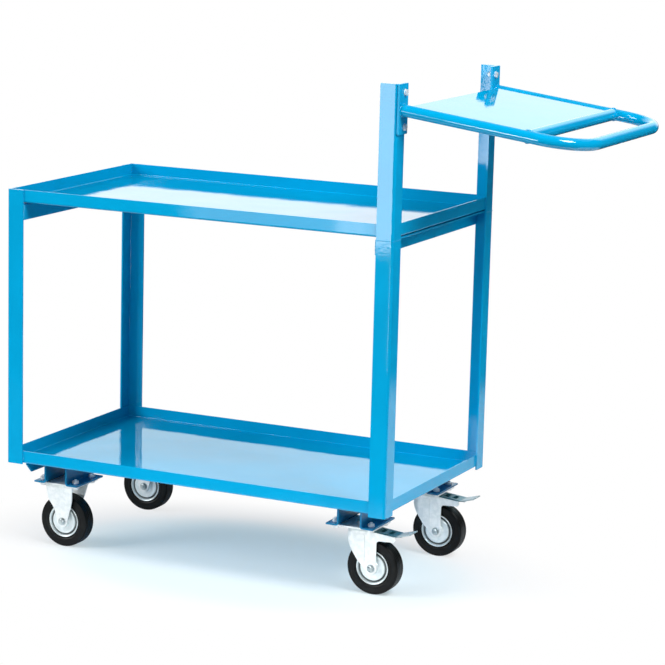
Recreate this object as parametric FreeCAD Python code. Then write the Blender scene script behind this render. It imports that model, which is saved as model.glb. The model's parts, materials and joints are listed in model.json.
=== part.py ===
import FreeCAD, Part
import math
import os

# Order picking trolley: two folded trays on angle uprights, a push handle that carries a
# sloping writing shelf, fixed castors at the nose and braked swivel castors at the push end.
# Millimetres. X runs from the nose to the push end, Y to the pusher's right, Z up from the floor.

# Frame
frame_length = 1000.0
frame_width = 580.0
angle_leg = 42.0
angle_sheet = 4.0
angle_bend = 2.0                # inside radius
tray_spacing = 632.0            # underside to underside
tray_lip = 30.0                 # full height of a tray
tray_sheet = 2.0
tray_bend = 2.5                 # inside radius
post_rise = 312.0               # post top above the upper tray's rim
seam_drop = 6.0                 # butt weld below the upper tray
front_foot_drop = 2.0           # front uprights below the lower tray
rear_foot_drop = 6.0            # and the rear ones
cross_setback = 3.0             # clears the bend inside an upright
lower_cross_setback = 7.5       # clears the uprights' feet
lower_cross_leg = 30.0
lower_cross_sheet = 3.0
lower_cross_inset = 23.0        # end of the lower cross angle from the side
lower_cross_cut = 22.0          # sloping cut on its hanging corners

# Handle and writing shelf
handle_tube = 26.9
handle_wall = 2.6
handle_tilt = 7.1               # degrees, down towards the pusher
handle_drop = 57.0              # tube centre below the post top
handle_leg_inset = 16.0         # tube centre from the side of the frame
handle_bend = 95.0              # centre-line radius
cross_tube_reach = 301.5        # post to cross tube, along the slope
grip_depth = 124.5              # cross tube to grip bar
saddle_gap = 0.1                # cross tube's cut end to the tube beside it
shelf_sheet = 2.0
shelf_rise = 9.0                # shelf top above the tube centres
shelf_start = 16.0              # shelf edge from the posts
end_plate_width = 46.0
end_plate_height = 112.0
end_plate_sheet = 5.0
end_plate_round = 3.0
end_bolt_inset = 29.0           # from the side of the frame
end_bolt_top = 20.0             # from the plate's top edge
end_bolt_bottom = 16.0          # from its bottom edge

# Fasteners
bolt_diameter = 8.0
bolt_flats = 13.0
bolt_head = 5.3
nut_height = 6.5
bolt_past_nut = 3.0
hole_clearance = 0.5            # on the radius
thread_clearance = 0.1          # on the radius

# Castor plates and brackets
castor_rise = 36.0              # tyre top to plate top
front_inset = (115.0, 91.0)     # bracket centre from the nose and from the side of the frame
rear_inset = (107.5, 103.0)     # bracket centre from the push end and from the side
bolt_pitch_y = 76.0
plate_margin = 13.0             # plate edge past the bolt centres
plate_sheet = 4.0
plate_round = 9.0
bracket_height = 49.0
bracket_sheet = 4.0
bracket_bend = 3.0              # inside radius
bracket_length = 124.0
bracket_bolt_room = 14.0        # web face to bolt centre
bracket_flange_past = 14.0      # flange edge past the bolt centres
front_bracket_shift = 3.0       # front brackets towards the push end, from the middle of their bolts

# Wheels
wheel_diameter = 128.0
tyre_width = 37.0
tread_width = 29.0
shoulder_drop = 6.0             # tread to the widest part of the sidewall
bead_diameter = 73.2
rim_lip = 3.4                   # lip outside the bead
rim_sheet = 1.8
hub_diameter = 28.0
bush_diameter = 22.0
axle_diameter = 10.0
axle_flats = 17.0
axle_head = 5.0
axle_nut = 5.5
axle_past_nut = 1.5
running_clearance = 0.05        # on the radius

# Forks
fork_sheet = 3.0
fork_side_gap = 4.0             # tyre to leg
fork_crown = 4.0
fork_boss = 14.0                # radius round the axle
fork_shoulder = 5.0             # rounding of the crown's edge
trail = 41.0                    # king pin to axle
head_clearance = 3.5            # bolt heads above the turning crown
bolt_clearance = 0.5            # bolt heads beside the fixed fork
nose_reach = 27.0               # swivel fork ahead of the king pin
race_outer = 42.0
race_inner = 28.0
king_pin_diameter = 12.0
king_pin_head = 18.0
king_pin_cap = 3.0
king_pin_foot = 20.0
king_pin_base = 5.0
body_gap = 0.3                  # between pieces that move past each other
leg_back = 12.0                 # back edge of a swivel leg behind the axle
leg_knee = 35.0                 # front edge of a swivel leg, ahead of the axle
leg_knee_height = 16.0          # above the axle
skirt_drop = 0.5                # bottom of the front skirt below the tyre top
arch_rise = 3.0                 # underside of the tail above the tyre top
arch_round = 8.0
tail_reach = 60.0               # tail end behind the axle
tail_depth = 12.0               # height of the tail's end
tail_rise = 2.0                 # tail's end above its underside at the arch
tail_slope_start = 22.0         # where the tail's top edge leaves the crown, ahead of the axle
slot_start = 2.0                # pedal slot in the crown, ahead of the pedal
rib_front = 34.0                # pressed rib on a swivel leg, ahead of the axle
rib_width = 17.0
rib_height = 1.2
rib_top = 4.0                   # rib's upper end below the rounding of the crown
rib_margin = 9.0                # its lower end above the axle
fixed_half = 37.0               # fork top ahead of and behind the axle
fixed_bend = 5.0                # inside radius at the crown
fixed_flare = 16.0              # each leg wider at the plate
fixed_flare_start = 35.0        # above the axle
fixed_shin = (36.0, 54.0)       # where the front edge starts to close in, from the axle
fixed_calf = (30.0, 56.0)       # and the back edge
fixed_waist = (20.0, 24.0)      # where both close in on the boss

# Foot brake
pedal_width = 42.0
pedal_side_gap = 1.5            # pedal to the inside of the fork
pedal_sheet = 2.5
pedal_front = (-6.0, -2.6)      # top edge behind the axle and below the crown
pedal_knee = (60.0, 4.2)
pedal_toe = (94.0, -5.0)
pedal_skirt = 7.0               # side walls below the pedal's sheet
pedal_bend = 6.0
pedal_window = (12.0, 26.0)     # along and across
pedal_bar = 9.0                 # between the windows
pedal_window_start = 13.0
pedal_pin = (4.0, 15.0)
pedal_pin_diameter = 6.0
pedal_pin_past = 1.0            # pin end outside the fork
cheek_round = 7.0               # side wall outside the pin
shoe_gap = 5.4                  # shoe to tyre when released
shoe_depth = 6.0
shoe_start = 64.0               # degrees above the level through the axle
shoe_end = 74.0


def vector(x, y, z=0.0):
    return FreeCAD.Vector(x, y, z)


def left_of(direction):
    return vector(-direction.y, direction.x)


# Start, middle and end of the arc that rounds a corner between two directions
def corner_arc(point, into, out, radius):
    turn = math.acos(max(-1.0, min(1.0, into.dot(out))))
    reach = radius * math.tan(turn / 2)
    hand = 1.0 if into.cross(out).z > 0 else -1.0
    start = point - into * reach
    centre = start + left_of(into) * (hand * radius)
    middle = centre + (point - centre).normalize() * radius
    return [start, middle, point + out * reach]


# A closed wire through corners, each a single point or an arc of three points
def closed_wire(corners):
    edges = []
    for index, corner in enumerate(corners):
        following = corners[(index + 1) % len(corners)]
        if len(corner) == 3:
            edges.append(Part.Arc(*corner).toShape())
        if corner[-1].distanceToPoint(following[0]) > 1e-6:
            edges.append(Part.LineSegment(corner[-1], following[0]).toShape())
    return Part.Wire(edges)


# A polygon in the XY plane with a radius for each corner, zero for a sharp one
def rounded_polygon(points, radii):
    corners = []
    for index, (x, y) in enumerate(points):
        point = vector(x, y)
        before = vector(*points[index - 1])
        after = vector(*points[(index + 1) % len(points)])
        into = (point - before).normalize()
        out = (after - point).normalize()
        if radii[index] > 0:
            corners.append(corner_arc(point, into, out, radii[index]))
        else:
            corners.append([point])
    return closed_wire(corners)


# Section of folded sheet: the path is one face of it and the metal lies on the path's left
def folded_section(points, sheet, inside_radius):
    path = [vector(*point) for point in points]
    runs = [(after - before).normalize() for before, after in zip(path, path[1:])]
    face = [[path[0]]]
    back = [[path[0] + left_of(runs[0]) * sheet]]
    for point, into, out in zip(path[1:-1], runs, runs[1:]):
        hand = 1.0 if into.cross(out).z > 0 else -1.0
        radius = inside_radius + sheet if hand > 0 else inside_radius
        start, middle, end = corner_arc(point, into, out, radius)
        centre = start + left_of(into) * (hand * radius)
        back_middle = centre + (point - centre).normalize() * (radius - hand * sheet)
        face.append([start, middle, end])
        back.append([start + left_of(into) * sheet, back_middle, end + left_of(out) * sheet])
    face.append([path[-1]])
    back.append([path[-1] + left_of(runs[-1]) * sheet])
    return closed_wire(face + [corner[::-1] for corner in back[::-1]])


def upwards(wire, low, high):
    solid = Part.Face(wire).extrude(vector(0, 0, high - low))
    solid.translate(vector(0, 0, low))
    return solid


# Prism across the trolley of a wire drawn with X along and Y up
def across(wire, low, high):
    solid = Part.Face(wire).extrude(vector(0, 0, high - low))
    solid.rotate(vector(0, 0, 0), vector(1, 0, 0), 90)
    solid.translate(vector(0, high, 0))
    return solid


# Prism along the trolley of a wire drawn with X across and Y up
def lengthwise(wire, low, high):
    solid = Part.Face(wire).extrude(vector(0, 0, high - low))
    solid.rotate(vector(0, 0, 0), vector(1, 1, 1), 120)
    solid.translate(vector(low, 0, 0))
    return solid


def cylinder_up(x, y, low, high, radius):
    return Part.makeCylinder(radius, high - low, vector(x, y, low))


def cylinder_across(x, z, low, high, radius):
    return Part.makeCylinder(radius, high - low, vector(x, low, z), vector(0, 1, 0))


# Solid of revolution about the Y axis from points of radius and distance along the axis
def turned(points):
    wire = Part.makePolygon([vector(radius, y) for radius, y in points + points[:1]])
    return Part.Face(wire).revolve(vector(0, 0, 0), vector(0, 1, 0), 360)


def hexagon(flats, low, high):
    radius = flats / 2 / math.cos(math.pi / 6)
    corners = [(radius * math.cos(k * math.pi / 3), radius * math.sin(k * math.pi / 3)) for k in range(6)]
    return upwards(rounded_polygon(corners, [0.0] * 6), low, high)


# Bolt along Z with its head under the level zero
def bolt(diameter, flats, head, length):
    return hexagon(flats, -head, 0).fuse(cylinder_up(0, 0, -head / 2, length, diameter / 2)).removeSplitter()


def nut(diameter, flats, height):
    return hexagon(flats, 0, height).cut(cylinder_up(0, 0, -1, height + 1, diameter / 2 + thread_clearance))


def moved(shape, x, y, z):
    copy = shape.copy()
    copy.translate(vector(x, y, z))
    return copy


def turned_about(shape, axis, degrees):
    copy = shape.copy()
    copy.rotate(vector(0, 0, 0), axis, degrees)
    return copy


nodes = {}

# Levels and ends
tilt = math.radians(handle_tilt)
handle_reach = cross_tube_reach + grip_depth
overall_length = frame_length + handle_reach * math.cos(tilt) + handle_tube / 2
nose = -overall_length / 2
push = nose + frame_length
centre = (nose + push) / 2
side = frame_width / 2
castor_height = wheel_diameter + castor_rise
lower_base = castor_height + bracket_height
upper_base = lower_base + tray_spacing
upper_rim = upper_base + tray_lip
post_top = upper_rim + post_rise
seam = upper_base - seam_drop

# Uprights and posts
angle = folded_section([(0, angle_leg), (0, 0), (angle_leg, 0)], angle_sheet, angle_bend)


def upright(x, y, quarter_turns, low, high):
    solid = turned_about(upwards(angle, low, high), vector(0, 0, 1), 90 * quarter_turns)
    return moved(solid, x, y, 0)


nodes["upright_front_left"] = upright(nose, -side, 0, lower_base - front_foot_drop, upper_rim)
nodes["upright_front_right"] = upright(nose, side, 3, lower_base - front_foot_drop, upper_rim)
nodes["upright_rear_left"] = upright(push, -side, 1, lower_base - rear_foot_drop, seam)
nodes["upright_rear_right"] = upright(push, side, 2, lower_base - rear_foot_drop, seam)
nodes["post_left"] = upright(push, -side, 1, seam, post_top)
nodes["post_right"] = upright(push, side, 2, seam, post_top)


# Trays: bends along the floor, corners cut, welded and ground round outside
def rounded_block(length, width, height, radius, top_of_rounding):
    block = Part.makeBox(length, width, height, vector(-length / 2, -width / 2, 0))
    edges = [edge for edge in block.Edges if edge.CenterOfMass.z < top_of_rounding]
    return block.makeFillet(radius, edges)


def tray(base):
    length = frame_length - 2 * angle_sheet
    width = frame_width - 2 * angle_sheet
    outside = rounded_block(length, width, tray_lip, tray_bend + tray_sheet, 0.75 * tray_lip)
    inside = rounded_block(length - 2 * tray_sheet, width - 2 * tray_sheet, tray_lip, tray_bend, tray_sheet)
    return moved(outside.cut(moved(inside, 0, 0, tray_sheet)), centre, 0, base)


nodes["upper_tray"] = tray(upper_base)
nodes["lower_tray"] = tray(lower_base)


# Cross angles: top flange pointing out to the end of the frame, other flange hanging
def cross_angle(leg, sheet, half_length):
    section = folded_section([(leg, -leg), (leg, 0), (0, 0)], sheet, angle_bend)
    return across(section, -half_length, half_length)


upper_cross = cross_angle(angle_leg, angle_sheet, side - angle_sheet)
cross_edge = angle_sheet + cross_setback
nodes["upper_front_cross"] = moved(upper_cross, nose + cross_edge, 0, upper_base)
facing_back = turned_about(upper_cross, vector(0, 0, 1), 180)
nodes["upper_rear_cross"] = moved(facing_back, push - cross_edge, 0, upper_base)

lower_half = side - lower_cross_inset
lower_cross = cross_angle(lower_cross_leg, lower_cross_sheet, lower_half)
for hand in (-1, 1):
    corner = [(hand * lower_half, -lower_cross_leg + lower_cross_cut),
              (hand * (lower_half - lower_cross_cut), -lower_cross_leg),
              (hand * lower_half, -lower_cross_leg)]
    wedge = Part.Face(Part.makePolygon([vector(0, y, z) for y, z in corner + corner[:1]]))
    lower_cross = lower_cross.cut(wedge.extrude(vector(lower_cross_leg, 0, 0)))
nodes["lower_front_cross"] = moved(lower_cross, nose + angle_sheet + lower_cross_setback, 0, lower_base)

# Handle end plates, bolted to the posts
bolt_hole = bolt_diameter / 2 + hole_clearance
end_bolt_levels = (post_top - end_bolt_top, post_top - end_plate_height + end_bolt_bottom)
plate_face = push + end_plate_sheet
end_bolt_length = end_plate_sheet + angle_sheet + nut_height + bolt_past_nut
end_bolt = turned_about(bolt(bolt_diameter, bolt_flats, bolt_head, end_bolt_length), vector(0, 1, 0), -90)
end_nut = turned_about(nut(bolt_diameter, bolt_flats, nut_height), vector(0, 1, 0), -90)
end_bolts = []
end_nuts = []
for name, hand in (("left", -1), ("right", 1)):
    outline = [(0, 0), (end_plate_height, 0), (end_plate_height, end_plate_width), (0, end_plate_width)]
    plate = upwards(rounded_polygon(outline, [end_plate_round] * 4), 0, end_plate_sheet)
    plate = turned_about(plate, vector(0, 1, 0), 90)
    plate = moved(plate, push, -side if hand < 0 else side - end_plate_width, post_top)
    for level in end_bolt_levels:
        y = hand * (side - end_bolt_inset)
        drill_start = vector(push - 2 * angle_leg, y, level)
        drill = Part.makeCylinder(bolt_hole, 4 * angle_leg, drill_start, vector(1, 0, 0))
        plate = plate.cut(drill)
        nodes["post_" + name] = nodes["post_" + name].cut(drill)
        end_bolts.append(moved(end_bolt, plate_face, y, level))
        end_nuts.append(moved(end_nut, push - angle_sheet, y, level))
    nodes["handle_plate_" + name] = plate
nodes["handle_bolts"] = Part.makeCompound(end_bolts)
nodes["handle_nuts"] = Part.makeCompound(end_nuts)

# Handle tube, cross tube and shelf, drawn level along X from the post face and then tilted
leg_y = side - handle_leg_inset
tube_radius = handle_tube / 2
tube_lead = 2 * end_plate_sheet


def handle_path():
    arc_start = handle_reach - handle_bend
    arc_side = leg_y - handle_bend
    lean = handle_bend * math.sqrt(0.5)
    edges = [Part.LineSegment(vector(-tube_lead, -leg_y), vector(arc_start, -leg_y)).toShape(),
             Part.Arc(vector(arc_start, -leg_y), vector(arc_start + lean, -arc_side - lean),
                      vector(handle_reach, -arc_side)).toShape(),
             Part.LineSegment(vector(handle_reach, -arc_side), vector(handle_reach, arc_side)).toShape(),
             Part.Arc(vector(handle_reach, arc_side), vector(arc_start + lean, arc_side + lean),
                      vector(arc_start, leg_y)).toShape(),
             Part.LineSegment(vector(arc_start, leg_y), vector(-tube_lead, leg_y)).toShape()]
    return Part.Wire(edges)


def bent_rod(radius):
    ring = Part.Wire(Part.Circle(vector(-tube_lead, -leg_y), vector(1, 0, 0), radius).toShape())
    return handle_path().makePipeShell([ring], True, False)


def tilted(shape):
    return moved(turned_about(shape, vector(0, 1, 0), handle_tilt), push, 0, post_top - handle_drop)


handle_rod = bent_rod(tube_radius)
cross_rod = Part.makeCylinder(tube_radius, 2 * leg_y, vector(cross_tube_reach, -leg_y, 0), vector(0, 1, 0))
cross_bore = Part.makeCylinder(tube_radius - handle_wall, 2 * leg_y, vector(cross_tube_reach, -leg_y, 0),
                               vector(0, 1, 0))
shelf = Part.makeBox(cross_tube_reach - shelf_start, 2 * leg_y, shelf_sheet,
                     vector(shelf_start, -leg_y, shelf_rise - shelf_sheet))
behind_plates = Part.makeBox(4 * handle_tube, frame_width, 4 * end_plate_height,
                             vector(plate_face - 4 * handle_tube, -side, post_top - 3 * end_plate_height))
nodes["handle_tube"] = tilted(handle_rod.cut(bent_rod(tube_radius - handle_wall))).cut(behind_plates)
nodes["handle_cross_tube"] = tilted(cross_rod.cut(cross_bore).cut(bent_rod(tube_radius + saddle_gap)))
nodes["writing_shelf"] = tilted(shelf.cut(handle_rod).cut(cross_rod))

# Castor brackets, plates and their bolts, each drawn about the centre of its bolts
half_tyre = tyre_width / 2
fork_inside = max(half_tyre + fork_side_gap, pedal_width / 2 + pedal_side_gap)     # room for wheel and pedal
fork_half = fork_inside + fork_sheet
crown_half = fork_half + fixed_flare
bolt_corner = bolt_flats / math.sqrt(3)
bolt_pitch_x = 2 * (fixed_half + bolt_corner + bolt_clearance)
bolt_places = [(x * bolt_pitch_x / 2, y * bolt_pitch_y / 2) for x in (-1, 1) for y in (-1, 1)]
plate_top = castor_height
plate_base = castor_height - plate_sheet


def drilled(shape, places, low, high, radius):
    for x, y in places:
        shape = shape.cut(cylinder_up(x, y, low - 1, high + 1, radius))
    return shape


web = bolt_pitch_x / 2 - bracket_bolt_room
flange_edge = bolt_pitch_x / 2 + bracket_flange_past
flange_top = plate_top + bracket_sheet
hat = folded_section([(flange_edge, flange_top), (web, flange_top), (web, lower_base), (-web, lower_base),
                      (-web, flange_top), (-flange_edge, flange_top)], bracket_sheet, bracket_bend)
plain_bracket = across(hat, -bracket_length / 2, bracket_length / 2)
rear_bracket = drilled(plain_bracket, bolt_places, plate_top, flange_top, bolt_hole)
shifted_bracket = moved(plain_bracket, front_bracket_shift, 0, 0)
front_bracket = drilled(shifted_bracket, bolt_places, plate_top, flange_top, bolt_hole)

plate_half_x = bolt_pitch_x / 2 + plate_margin
plate_half_y = bolt_pitch_y / 2 + plate_margin
plate_outline = [(-plate_half_x, -plate_half_y), (plate_half_x, -plate_half_y),
                 (plate_half_x, plate_half_y), (-plate_half_x, plate_half_y)]
blank_plate = upwards(rounded_polygon(plate_outline, [plate_round] * 4), plate_base, plate_top)
castor_plate = drilled(blank_plate, bolt_places, plate_base, plate_top, bolt_hole)
pin_radius = king_pin_diameter / 2
swivel_plate = drilled(castor_plate, [(0, 0)], plate_base, plate_top, pin_radius + running_clearance)

castor_grip = plate_sheet + bracket_sheet
castor_bolt = bolt(bolt_diameter, bolt_flats, bolt_head, castor_grip + nut_height + bolt_past_nut)
castor_nut = nut(bolt_diameter, bolt_flats, nut_height)

# Wheel, drawn about its own centre with the axle along Y
wheel_radius = wheel_diameter / 2
half_tread = tread_width / 2
bead = bead_diameter / 2
lip = bead + rim_lip
seat = half_tyre - rim_lip - rim_sheet      # half width of the bead seat
hub = hub_diameter / 2
bush = bush_diameter / 2
axle_radius = axle_diameter / 2
shoulder = wheel_radius - shoulder_drop
hub_face = half_tyre + fork_side_gap / 2

tyre_side = [(bead, seat), (lip + rim_sheet / 2, seat + rim_lip), (shoulder, half_tyre),
             (wheel_radius - shoulder_drop / 3, (2 * half_tyre + half_tread) / 3), (wheel_radius, half_tread)]
tyre = turned(tyre_side + [(radius, -y) for radius, y in tyre_side[::-1]])

# Pressed rim half: bead seat, rolled lip, groove, raised disc and hub collar
disc_edge = bead - 3 * rim_sheet
disc_face = seat + rim_lip
groove = seat + rim_sheet
rim_section = [(bead, 0), (bead, seat), (lip, seat + rim_lip), (lip, half_tyre), (lip - rim_sheet, half_tyre),
               (bead - rim_sheet, groove), (disc_edge + rim_sheet, groove), (disc_edge, disc_face),
               (hub, disc_face), (hub, hub_face), (bush, hub_face), (bush, disc_face - rim_sheet),
               (disc_edge - rim_sheet, disc_face - rim_sheet), (disc_edge, seat), (bead - rim_sheet, seat),
               (bead - rim_sheet, 0)]
rim_half = turned(rim_section)
rim = Part.makeCompound([rim_half, turned_about(rim_half, vector(1, 0, 0), 180)])
half_bush = fork_inside - body_gap
hub_bush = turned([(axle_radius + running_clearance, -half_bush), (bush, -half_bush),
                   (bush, half_bush), (axle_radius + running_clearance, half_bush)])

# Axle bolt along Y, head on the right, nut on the left
axle_bolt = turned_about(bolt(axle_diameter, axle_flats, axle_head, 2 * fork_half + axle_nut + axle_past_nut),
                         vector(1, 0, 0), 90)
axle_bolt = moved(axle_bolt, 0, fork_half, 0)
axle_lock = turned_about(nut(axle_diameter, axle_flats, axle_nut), vector(1, 0, 0), 90)
axle = Part.makeCompound([axle_bolt, moved(axle_lock, 0, -fork_half, 0)])


# Pressed fork: a deep cap of sheet, cut to its side view, with a boss round the axle
def plan(front, back, half, front_round, back_round, level):
    outline = [(front, -half), (back, -half), (back, half), (front, half)]
    wire = rounded_polygon(outline, [front_round, back_round, back_round, front_round])
    wire.translate(vector(0, 0, level))
    return wire


def side_view(points, radii, axle_x, half):
    cutter = across(rounded_polygon(points, radii), -half, half)
    return cutter.fuse(cylinder_across(axle_x, wheel_radius, -half, half, fork_boss)).removeSplitter()


axle_hole = axle_radius + running_clearance
boss_side = fork_boss * math.sin(math.radians(60))
boss_low = wheel_radius - fork_boss / 2
fork_low = wheel_radius - 2 * fork_boss
far = 2 * fork_half

# Swivel fork, drawn about its king pin
crown_top = plate_base - bolt_head - head_clearance
nose_round = fork_half - 1
tail_end = trail + tail_reach
swivel_cap = upwards(plan(-nose_reach, tail_end + far, fork_half, nose_round, 0, 0), fork_low, crown_top)
rim_edges = [edge for edge in swivel_cap.Edges
             if edge.BoundBox.ZMin > crown_top - 1e-6 and edge.CenterOfMass.x < tail_end + far - 1e-6]
swivel_cap = swivel_cap.makeFillet(fork_shoulder, rim_edges)
hollow_plan = plan(-nose_reach + fork_sheet, tail_end + 2 * far, fork_inside, nose_round - fork_sheet, 0, 0)
swivel_hollow = upwards(hollow_plan, fork_low - 1, crown_top - fork_crown)
skirt = wheel_diameter - skirt_drop
arch = wheel_diameter + arch_rise
swivel_points = [(-far, crown_top + 1), (-far, skirt), (-nose_reach, skirt),
                 (trail - leg_knee, wheel_radius + leg_knee_height),
                 (trail - boss_side, boss_low), (trail + leg_back, boss_low),
                 (trail + leg_back, arch),
                 (tail_end - tail_depth / 2, arch + tail_rise),
                 (tail_end, arch + tail_rise + tail_depth / 2),
                 (tail_end - tail_depth / 4, arch + tail_rise + tail_depth),
                 (trail - tail_slope_start, crown_top + 1)]
swivel_radii = [0, 0, 0, 2 * arch_round, 0, 0, arch_round, 0, arch_round / 2, 0, 0]
swivel_fork = swivel_cap.cut(swivel_hollow).common(side_view(swivel_points, swivel_radii, trail, far))
pedal_slot = Part.makeBox(2 * tail_reach, 2 * fork_inside, crown_top,
                          vector(trail + pedal_front[0] - slot_start, -fork_inside, arch))
swivel_fork = swivel_fork.cut(pedal_slot)
rib_low = wheel_radius + rib_margin
rib_high = crown_top - fork_shoulder - rib_top
rib_start = trail - rib_front
rib_outline = [(rib_start, rib_low + rib_width), (rib_start + rib_width, rib_low),
               (rib_start + rib_width, rib_high), (rib_start, rib_high)]
for hand in (-1, 1):
    low = hand * fork_half - rib_height
    rib = across(rounded_polygon(rib_outline, [rib_width / 6] * 4), low, low + 2 * rib_height)
    swivel_fork = swivel_fork.fuse(rib)
swivel_fork = swivel_fork.cut(cylinder_across(trail, wheel_radius, -far, far, axle_hole))
pin_x = trail + pedal_pin[0]
pin_z = crown_top - pedal_pin[1]
pedal_pin_radius = pedal_pin_diameter / 2
pedal_pin_hole = pedal_pin_radius + running_clearance
swivel_fork = swivel_fork.cut(cylinder_across(pin_x, pin_z, -far, far, pedal_pin_hole))
swivel_fork = swivel_fork.cut(cylinder_up(0, 0, fork_low, crown_top + 1, pin_radius + running_clearance))

ball_race = cylinder_up(0, 0, crown_top, plate_base - body_gap, race_outer / 2)
ball_race = ball_race.cut(cylinder_up(0, 0, crown_top - 1, plate_base + 1, race_inner / 2))
pin_foot = crown_top - fork_crown - body_gap
king_pin = cylinder_up(0, 0, pin_foot - king_pin_base, plate_top, pin_radius)
king_pin = king_pin.fuse(cylinder_up(0, 0, plate_top, plate_top + king_pin_cap, king_pin_head / 2))
king_pin = king_pin.fuse(cylinder_up(0, 0, pin_foot - king_pin_base, pin_foot, king_pin_foot / 2))
king_pin = king_pin.removeSplitter()

# Fixed fork, drawn about its axle: sheet bent over the wheel, its legs spread towards the plate
fixed_top = plate_base
fixed_knee = wheel_radius + fixed_flare_start
fixed_section = folded_section([(fork_half, fork_low), (fork_half, fixed_knee), (crown_half, fixed_top),
                                (-crown_half, fixed_top), (-fork_half, fixed_knee), (-fork_half, fork_low)],
                               fork_sheet, fixed_bend)
waist = wheel_radius + fixed_waist[1]
fixed_points = [(-fixed_half, fixed_top + 1), (-fixed_shin[0], wheel_radius + fixed_shin[1]),
                (-fixed_waist[0], waist), (-boss_side, boss_low),
                (boss_side, boss_low), (fixed_waist[0], waist),
                (fixed_calf[0], wheel_radius + fixed_calf[1]), (fixed_half, fixed_top + 1)]
fixed_radii = [0, 2 * arch_round, 2 * arch_round, 0, 0, 2 * arch_round, 2 * arch_round, 0]
fixed_fork = lengthwise(fixed_section, -far, far).common(side_view(fixed_points, fixed_radii, 0, far))
fixed_fork = fixed_fork.cut(cylinder_across(0, wheel_radius, -far, far, axle_hole))

# Foot pedal: sheet with two windows, a turned-up toe and side walls that carry the pin and the shoe
behind = [(trail + x, crown_top - drop) for x, drop in (pedal_toe, pedal_knee, pedal_front)]
half_pedal = pedal_width / 2
tread_plate = across(folded_section(behind, pedal_sheet, pedal_bend), -half_pedal, half_pedal)
for order in (0, 1):
    start = trail + pedal_window_start + order * (pedal_window[0] + pedal_bar)
    tread_plate = tread_plate.cut(Part.makeBox(pedal_window[0], pedal_window[1], castor_height,
                                               vector(start, -pedal_window[1] / 2, wheel_radius)))
pedal_fall = (pedal_knee[1] - pedal_front[1]) / (pedal_knee[0] - pedal_front[0])


def under_pedal(x):
    return crown_top - pedal_front[1] - (x - trail - pedal_front[0]) * pedal_fall - pedal_sheet / 2


shoe_inside = wheel_radius + shoe_gap
shoe_outside = shoe_inside + shoe_depth


def round_axle(radius, degrees):
    angle = math.radians(degrees)
    return (trail + radius * math.cos(angle), wheel_radius + radius * math.sin(angle))


shoe_low = round_axle(shoe_outside, shoe_start)
cheek_front = trail + pedal_front[0]
cheek_back = shoe_low[0] + cheek_round
skirt_end = trail + pedal_knee[0] - 1.5 * pedal_bend
cheek_edge = shoe_inside + shoe_depth / 3
cheek_points = [(cheek_front, under_pedal(cheek_front)), (cheek_front, pin_z - cheek_round),
                round_axle(cheek_edge, shoe_end), round_axle(cheek_edge, shoe_start), shoe_low,
                (cheek_back, under_pedal(cheek_back) - pedal_skirt),
                (skirt_end, under_pedal(skirt_end) - pedal_skirt), (skirt_end, under_pedal(skirt_end))]
cheek_radii = [0, cheek_round / 3, 0, 0, 0, cheek_round / 3, cheek_round / 3, 0]
cheek = rounded_polygon(cheek_points, cheek_radii)
pedal = tread_plate
for low in (-half_pedal, half_pedal - pedal_sheet):
    pedal = pedal.fuse(across(cheek, low, low + pedal_sheet))
pedal = pedal.cut(cylinder_across(pin_x, pin_z, -far, far, pedal_pin_hole)).removeSplitter()

half_shoe = half_pedal - pedal_sheet
shoe_mid = (shoe_start + shoe_end) / 2
shoe_corners = [[vector(*round_axle(radius, angle)) for angle in angles]
                for radius, angles in ((shoe_inside, (shoe_start, shoe_mid, shoe_end)),
                                       (shoe_outside, (shoe_end, shoe_mid, shoe_start)))]
brake_shoe = across(closed_wire(shoe_corners), -half_shoe, half_shoe)
pin_half = fork_half + pedal_pin_past
pedal_pivot = cylinder_across(pin_x, pin_z, -pin_half, pin_half, pedal_pin_radius)

# Castors in place
castor_bolts = []
castor_nuts = []
castor_ends = (("front", nose + front_inset[0], front_inset[1]),
               ("rear", push - rear_inset[0], rear_inset[1]))
for end, x, inset in castor_ends:
    for name, hand in (("left", -1), ("right", 1)):
        y = hand * (side - inset)
        corner = end + "_" + name
        if end == "front":
            axle_x = 0.0
            pieces = {"bracket": front_bracket, "plate": castor_plate, "fork": fixed_fork}
        else:
            axle_x = trail
            pieces = {"bracket": rear_bracket, "plate": swivel_plate, "king_pin": king_pin,
                      "ball_race": ball_race, "fork": swivel_fork, "pedal": pedal,
                      "brake_shoe": brake_shoe, "pedal_pin": pedal_pivot}
        for piece, shape in (("axle", axle), ("tyre", tyre), ("rim", rim), ("hub_bush", hub_bush)):
            pieces[piece] = moved(shape, axle_x, 0, wheel_radius)
        for piece, shape in pieces.items():
            nodes[corner + "_" + piece] = moved(shape, x, y, 0)
        for bolt_x, bolt_y in bolt_places:
            castor_bolts.append(moved(castor_bolt, x + bolt_x, y + bolt_y, plate_base))
            castor_nuts.append(moved(castor_nut, x + bolt_x, y + bolt_y, flange_top))
nodes["castor_bolts"] = Part.makeCompound(castor_bolts)
nodes["castor_nuts"] = Part.makeCompound(castor_nuts)

os.makedirs("parts", exist_ok=True)
for name, shape in nodes.items():
    shape.exportStep("parts/" + name + ".step")
    print(name, len(shape.Solids), shape.isValid(), round(shape.Volume / 1000, 2))
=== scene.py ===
import json
import math

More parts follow.
